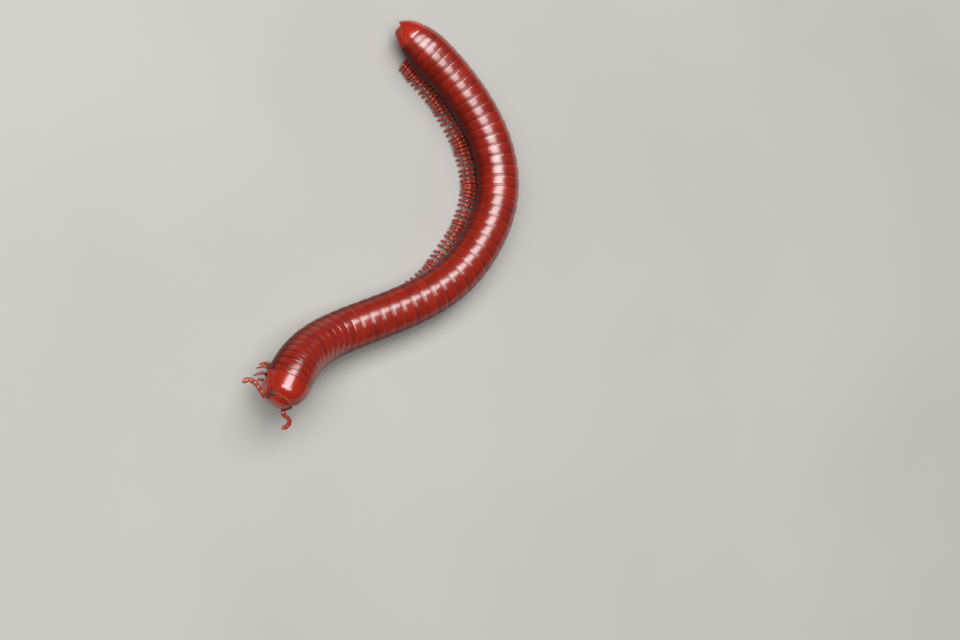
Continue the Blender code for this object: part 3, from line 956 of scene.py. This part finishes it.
def buildCollum():
    form = collumForm
    dome = domeBlob("collum", 0.0, form["rearEdge"])
    hollow = domeBlob("hollow", -form["wall"], form["rearEdge"] - form["hollowBeyond"])
    edges = [solidBlob("edge", faceFrame, (place, size, 128, 96)) for place, size in form["cuts"]]
    cutAway(dome, [hollow, *edges, *headBlobs(form["headGap"])])
    applyModifier(dome, "evenMesh", "REMESH", mode="VOXEL", voxel_size=form["voxel"])
    applyModifier(dome, "softEdges", "SMOOTH", factor=0.5, iterations=4)
    toNeck, toFace = neckFrame.inverted(), faceFrame.inverted()
    middle = Vector((form["middle"], 0, 0))
    normals = [vertex.normal.copy() for vertex in dome.data.vertices]
    layer = addPlaceLayer(dome)
    for vertex, normal in zip(dome.data.vertices, normals):
        fromRim = min(distanceOutside(toFace @ vertex.co, place, size) for place, size in form["cuts"])
        outward = (toNeck @ vertex.co - middle).normalized()
        outside = max(0.0, outward.dot(toNeck.to_3x3() @ normal))
        vertex.co += normal * form["rimHeight"] * outside * hump(fromRim / form["rimWidth"])
        upness = (toNeck.to_3x3() @ normal).z
        layer.data[vertex.index].vector = (clamp(fromRim / form["toneLength"]), 0, upness)
    writeShade(dome, 0.5)
    finishPiece(dome, polishedShield, ["collum"], sharp=60)
    print("collum made")


buildCollum()


def headPlaceRule(place):
    local = headFrame.inverted() @ place
    return (headForm["toneMiddle"] + headForm["toneSlope"] * local.x, local.y, local.z)


def buildHeadShell():
    form = headForm
    capsule, *cheeks, nape = headBlobs()
    piece = joinPieces("headCapsule", [capsule, nape, solidBlob("lip", headFrame, form["lip"])])
    discard(*cheeks)
    applyModifier(piece, "oneSkin", "REMESH", mode="VOXEL", voxel_size=form["voxel"])
    applyModifier(piece, "softCreases", "SMOOTH", factor=0.5, iterations=8)
    cutAway(piece, [solidBlob("notch", headFrame, form["notch"])])
    home = headFrame.inverted()
    normals = [vertex.normal.copy() for vertex in piece.data.vertices]
    for vertex, normal in zip(piece.data.vertices, normals):
        local = home @ vertex.co
        if local.x > 0:
            seam = hump(local.y / form["seamWidth"])
            seam *= clamp((local.z - form["seamEnd"]) / form["seamFade"])
            aboveLip = local.z - form["mouthSeamLevel"] - form["mouthSeamRise"] * local.y**2
            mouthSeam = hump(aboveLip / form["mouthSeamWidth"])
            mouthSeam *= abs(local.y) < form["mouthSeamHalf"]
            vertex.co -= normal * (form["seamDepth"] * seam + form["mouthSeamDepth"] * mouthSeam)
    markPiece(piece, 0.5, headPlaceRule)
    finishPiece(piece, headShell, ["head"], sharp=60)


jawForm = {
    "plate": ((-0.35, 1.2, -0.6), (1.10, 0.80, 1.15), 40, 28),
    "hinge": ((-0.95, 1.18, -0.12), (0.62, 0.66, 0.66), 32, 20),
}


def buildJaws():
    # the outer plates of the jaws bulge on each side of the head, each with a smaller hinge plate behind
    for side, name in ((1, "left"), (-1, "right")):
        plates = [solidBlob(part, headFrame, blob, side) for part, blob in jawForm.items()]
        piece = joinPieces(f"jaw_{name}", plates)
        markPiece(piece, 0.35, headPlaceRule)
        finishPiece(piece, headShell, ["head"])


mouthForm = {
    "plates": (
        ((-0.62, 0.36, -1.45), (0.30, 0.36, 0.52), 24, 16),
        ((-0.62, -0.36, -1.45), (0.30, 0.36, 0.52), 24, 16),
        ((-0.92, 0.0, -1.05), (0.30, 0.34, 0.42), 24, 16),
    ),
    "teeth": (
        ((0.50, -0.13, -1.76), (0.10, 0.055, 0.09), 12, 8),
        ((0.50, 0.0, -1.76), (0.10, 0.055, 0.09), 12, 8),
        ((0.50, 0.13, -1.76), (0.10, 0.055, 0.09), 12, 8),
    ),
}


def buildMouth():
    # the lower lip's plates behind the jaws, and three blunt teeth in the notch of the upper lip
    plates = [solidBlob("lipPlate", headFrame, blob) for blob in mouthForm["plates"]]
    piece = joinPieces("lower_lip_plates", plates)
    markPiece(piece, 0.3, headPlaceRule)
    finishPiece(piece, headShell)
    teeth = [solidBlob("tooth", headFrame, blob) for blob in mouthForm["teeth"]]
    piece = joinPieces("lip_teeth", teeth)
    markPiece(piece, 0.5, lambda place: (0.6, 0, 0))
    finishPiece(piece, amberClaw)


eyeForm = {
    "direction": (0.31, 0.69, 0.66),
    "size": (0.36, 0.30, 0.26),
    "sink": 0.14,
    "bedDepth": 0.96,  # share of the patch's own rise
    "lensSpacing": 0.082,
    "lensRadius": 0.043,
    "lensFlatness": 0.75,
    "rowSpacing": 0.87,  # in lens spacings
    "columns": 6,  # at most, on each side of the middle
    "patchEdge": 0.86,
}


def buildEyes():
    # each eye is a patch of simple eyes in staggered rows on a dark swelling
    form = eyeForm
    clearSelection()
    bpy.ops.mesh.primitive_ico_sphere_add(subdivisions=2, radius=form["lensRadius"])
    lens = startPiece("lensTemplate")
    bpy.ops.transform.resize(value=(1, 1, form["lensFlatness"]), center_override=(0, 0, 0))
    closeEditing(lens)
    writePlaces(lens, lambda place: (clamp(place.z / form["lensRadius"]), 0, 0))
    a, b, c = form["size"]
    for side, name in ((1, "eye_left"), (-1, "eye_right")):
        home = onHead(form["direction"], side)
        bed = solidBlob("eyeBed", home, ((0, 0, -form["sink"]), (a, b, c * form["bedDepth"]), 32, 20))
        markPiece(bed, 0.5, lambda place: (0, 0, 0))
        lenses = []
        rowStep = form["lensSpacing"] * form["rowSpacing"]
        rows = int(b / rowStep)
        for row in range(-rows, rows + 1):
            y = row * rowStep
            shift = form["lensSpacing"] / 2 * (row % 2)
            for column in range(-form["columns"], form["columns"] + 1):
                x = column * form["lensSpacing"] + shift
                edge = (x / a) ** 2 + (y / b) ** 2
                if edge > form["patchEdge"]:
                    continue
                z = c * math.sqrt(1 - edge) - form["sink"]
                normal = Vector((x / a**2, y / b**2, (z + form["sink"]) / c**2)).normalized()
                lean = Vector((0, 0, 1)).rotation_difference(normal).to_matrix().to_4x4()
                lenses.append(copyPiece(lens, home @ Matrix.Translation((x, y, z)) @ lean))
        finishPiece(joinPieces(f"{name}_lenses", [bed, *lenses]), lensBlack, [name])
    discard(lens)
    print("eyes made")


antennaForm = {
    "lengths": (0.28, 0.68, 0.60, 0.52, 0.52, 0.58, 0.22),  # of the joints, from the root
    # degrees that each joint turns in plan from straight ahead, and rises, on the left and on the right
    "turns": {1: (-18, 81, 88, 63, 17, -36, -68), -1: (-80, -130, -124, -116, -99, -50, 6)},
    "pitches": {1: (-18, -29, -43, -42, -42, -40, -29), -1: (14, 6, -3, -9, -12, -17, -18)},
    "radius": 0.27,
    "lastRadius": 0.72,  # share of it
    "sides": 16,
    "rows": (  # share of the joint's length, share of its radius
        (-0.10, 0.50), (0.0, 0.70), (0.08, 0.80), (0.30, 0.88), (0.58, 0.97), (0.80, 1.03),
        (0.92, 1.00), (1.0, 0.82),
    ),
    "socketDirection": (0.69, 0.65, 0.32),
    "socketGap": 0.15,
    "socket": ((0, 0, 0.02), (0.36, 0.36, 0.12), 28, 12),
    "hairs": 9,
    "hair": (0.17, 0.013, 4),  # length, radius at the root, sides
    "hairShift": 0.6,
    "hairPlaces": (0.55, 0.35),  # share of the joint's length, and how far it varies
    "hairLeans": (50, 15),
    "hairHeight": 0.92,
    "cones": 4,  # at the tip
    "cone": (0.11, 0.035, 8),
    "coneAlong": 0.85,
    "coneHeight": 0.32,
    "coneLean": 80,
}


def makeSpike(name, length, root, sides):
    clearSelection()
    bpy.ops.mesh.primitive_cone_add(vertices=sides, radius1=root, depth=length, location=(0, 0, length / 2))
    piece = closeEditing(startPiece(name))
    bpy.ops.object.transform_apply(location=True, rotation=True, scale=True)
    writePlaces(piece, lambda place: (clamp(place.z / length), 0, 0))
    return piece


def spikeRoot(turn, along, height, lean):
    # a frame on a joint's surface, z leaning forward from straight out
    root = Matrix.Rotation(turn, 4, "X") @ Matrix.Translation((along, 0, height))
    return root @ turned(lean, "Y")


def placeHairs(template, home, length, radius):
    form = antennaForm
    place, placeRange = form["hairPlaces"]
    lean, leanRange = form["hairLeans"]
    made = []
    for k in range(form["hairs"]):
        turn = 2 * math.pi * (k + dice.random() * form["hairShift"]) / form["hairs"]
        along = length * (place + placeRange * dice.random())
        root = spikeRoot(turn, along, radius * form["hairHeight"], lean + leanRange * dice.random())
        made.append(copyPiece(template, home @ root))
    return made


def buildAntennae():
    form = antennaForm
    article = turnedPiece("articleTemplate", form["rows"], form["sides"])
    capEnd(article, form["rows"][-1][0])
    hair = makeSpike("hair", *form["hair"])
    cone = makeSpike("cone", *form["cone"])
    ahead = math.radians(axisPlan["heading"]) + math.pi
    last = len(form["lengths"]) - 1
    for side, name in ((1, "antenna_left"), (-1, "antenna_right")):
        place = onHead(form["socketDirection"], side) @ Vector((0, 0, form["socketGap"]))
        articles, hairs = [], []
        joints = zip(form["lengths"], form["turns"][side], form["pitches"][side])
        for i, (length, turn, pitch) in enumerate(joints):
            heading, pitch = ahead + math.radians(turn), math.radians(pitch)
            way = Vector((math.cos(heading), math.sin(heading), 0)) * math.cos(pitch)
            far = place + (way + Vector((0, 0, math.sin(pitch)))) * length
            radius = form["radius"] * (form["lastRadius"] if i == last else 1.0)
            home = pointedAlong(place, far, Vector((0, 0, 1)))
            articles.append(copyPiece(article, home @ Matrix.Diagonal((length, radius, radius, 1))))
            if i > 0:
                hairs += placeHairs(hair, home, length, radius)
            place = far
        cones = []
        for k in range(form["cones"]):
            turn = 2 * math.pi * (k + 0.5) / form["cones"]
            root = spikeRoot(turn, length * form["coneAlong"], radius * form["coneHeight"], form["coneLean"])
            cones.append(copyPiece(cone, home @ root))
        finishPiece(joinPieces(f"{name}_joints", articles), coralLimb, [name])
        finishPiece(joinPieces(f"{name}_hairs", hairs), paleHair)
        finishPiece(joinPieces(f"{name}_cones", cones), paleHair)
        socket = solidBlob(f"{name}_socket", onHead(form["socketDirection"], side), form["socket"])
        markPiece(socket, 0.2, lambda place: (0.1, 0, 0))
        finishPiece(socket, headShell)
    discard(article, hair, cone)
    print("antennae made")


buildHeadShell()
buildJaws()
buildMouth()
buildEyes()
buildAntennae()
print("head made")


# Telson

telsonForm = {
    "sides": 56,
    "rows": (  # distance behind its front, share of the body's radius there
        (-0.22, 0.90), (-0.16, 0.93), (0.0, 0.965), (0.15, 0.985), (0.45, 1.0), (0.80, 1.004),
        (1.08, 1.0), (1.17, 0.985), (1.20, 0.94), (1.14, 0.88), (0.50, 0.88), (-0.18, 0.86),
    ),
    "point": 1.1,  # how far the top of its rear edge is drawn out over the valves
    "pointFrom": 1.2,
    "valve": ((-1.0, 0.45, -0.3), (0.92, 0.80, 1.04), 40, 28),
    "valveGap": 0.02,  # half of it
    "lipFrom": -1.3,  # behind this each valve has a raised lip along the gap
    "lipAside": 0.10,
    "lipWidth": 0.07,
    "lipHeight": 0.07,
    "scale": ((-1.05, 0, -0.98), (0.62, 0.55, 0.16), 28, 16),
    "toneStart": 0.35,
    "toneSlope": 0.45,
}


def buildTelson():
    form = telsonForm
    start = edgesOfRings[-1]
    rows = [(-behind, share) for behind, share in form["rows"]]
    ring = closeEditing(turnedPiece("telsonRing", rows + rows[:1], form["sides"], closed=True))
    home = axisFrame(start)
    layer = addPlaceLayer(ring)
    for vertex in ring.data.vertices:
        x, y, z = vertex.co
        layer.data[vertex.index].vector = (clamp(form["toneStart"] - x * form["toneSlope"]), y, z)
        top = max(0.0, z / math.hypot(y, z))
        x -= form["point"] * max(0.0, -x) / form["pointFrom"] * top**3
        radius = bodyRadius(start - x)
        vertex.co = home @ Vector((x, y * radius, z * radius))
    writeShade(ring, 0.9)
    valves = []
    for side in (1, -1):
        valve = roundedBlob("valve", form["valve"], side)
        selectAll()
        bpy.ops.mesh.bisect(
            plane_co=(0, side * form["valveGap"], 0), plane_no=(0, side, 0), clear_inner=True, use_fill=True
        )
        closeEditing(valve)
        for vertex in valve.data.vertices:
            fromLip = (abs(vertex.co.y) - form["lipAside"]) / form["lipWidth"]
            vertex.co.x -= form["lipHeight"] * hump(fromLip) * (vertex.co.x < form["lipFrom"])
        valve.data.transform(home)
        markPiece(valve, 0.7, lambda place: (0.6, 0, 0.5))
        valves.append(valve)
    scale = solidBlob("scale", home, form["scale"])
    markPiece(scale, 0.5, lambda place: (0.5, 0, 0))
    finishPiece(joinPieces("telson_ring", [ring]), polishedShield, ["telson"])
    finishPiece(joinPieces("telson_valves", [*valves, scale]), polishedShield, ["telson"])
    print("telson made")


buildTelson()


# Stage, light and camera

stageLook = {
    "floorSize": 30.0,
    "floorTones": ((0.3, "A5A29E"), (0.7, "ABA8A4")),
    "mottleSize": 40,
    "viewTilt": 26,  # degrees between the camera's line of sight and straight down
    "viewAzimuth": 197.5,
    "target": (23.95, 9.30),  # from the axis's start, in mm
    "halfWidthPixels": 480,
    "pixelsPerMm": 9.0,
    "halfFieldOfView": 15,
    "sensorWidth": 36,
    "lamps": (  # name, turn to the picture's right, to its top, roll, distance, size, power, colour
        ("keySoftbox", 9, 25, 30, 0.45, (0.70, 0.22), 2.6, "FFFFFF"),
        ("sideSoftbox", 14, 1, 10, 0.45, (0.36, 0.26), 1.2, "FFFFFF"),
        ("fillSoftbox", -60, -20, 0, 0.6, (0.5, 0.5), 0.15, "F4F2F0"),
    ),
    "airColour": "EEECE8",
    "airStrength": 0.10,
}


def buildFloor():
    # matt paper sweep: pale and even, no gloss
    clearSelection()
    bpy.ops.mesh.primitive_plane_add(size=stageLook["floorSize"])
    floor = closeEditing(startPiece("floor"))
    made, tree = newMaterial("mattPaperSweep")
    mottle = addNoise(tree, stageLook["mottleSize"])
    tone = addRamp(tree, mottle, stageLook["floorTones"])
    addShader(tree, {"Base Color": tone, "Roughness": 0.85, "Specular IOR Level": 0.2})
    floor.data.materials.append(made)


def viewFrame():
    # x right, y up and z back towards the camera
    tilt, azimuth = math.radians(stageLook["viewTilt"]), math.radians(stageLook["viewAzimuth"])
    back = Vector((math.cos(azimuth) * math.sin(tilt), math.sin(azimuth) * math.sin(tilt), math.cos(tilt)))
    up = (Vector((0, 1, 0)) - back * back.y).normalized()
    startX, startY = axisPlan["start"]
    offsetX, offsetY = stageLook["target"]
    target = Vector((startX + offsetX, startY + offsetY, axisPlan["height"])) * mm
    return frameOf(up.cross(back), up, back, target)


def addSoftLight(name, view, turnRight, turnUp, roll, distance, size, power, colour):
    # an area lamp turned from the camera's side of the animal, in degrees
    way = turned(turnRight, "Y") @ turned(-turnUp, "X")
    way = way @ turned(roll, "Z")
    lamp = bpy.data.objects.new(name, bpy.data.lights.new(name, "AREA"))
    bpy.context.scene.collection.objects.link(lamp)
    lamp.data.shape = "ELLIPSE"
    lamp.data.size, lamp.data.size_y = size
    lamp.data.energy = power
    lamp.data.color = linearColour(colour)[:3]
    lamp.visible_camera = False
    lamp.matrix_world = view @ way @ Matrix.Translation((0, 0, distance))


def addLightAndCamera():
    view = viewFrame()
    for name, *lamp in stageLook["lamps"]:
        addSoftLight(name, view, *lamp)
    world = bpy.data.worlds.new("studioAir")
    bpy.context.scene.world = world
    world.use_nodes = True
    air = world.node_tree.nodes["Background"].inputs
    air["Color"].default_value = linearColour(stageLook["airColour"])
    air["Strength"].default_value = stageLook["airStrength"]
    camera = bpy.data.objects.new("photoCamera", bpy.data.cameras.new("photoCamera"))
    bpy.context.scene.collection.objects.link(camera)
    half = math.radians(stageLook["halfFieldOfView"])
    distance = stageLook["halfWidthPixels"] / math.tan(half) / stageLook["pixelsPerMm"] * mm
    camera.matrix_world = view @ Matrix.Translation((0, 0, distance))
    camera.data.sensor_width = stageLook["sensorWidth"]
    camera.data.lens = stageLook["sensorWidth"] / 2 / math.tan(half)
    camera.data.clip_start = mm
    bpy.context.scene.camera = camera
    bpy.context.scene.view_settings.view_transform = "Standard"


buildFloor()
addLightAndCamera()
clearSelection()
print("stage, light and camera made")
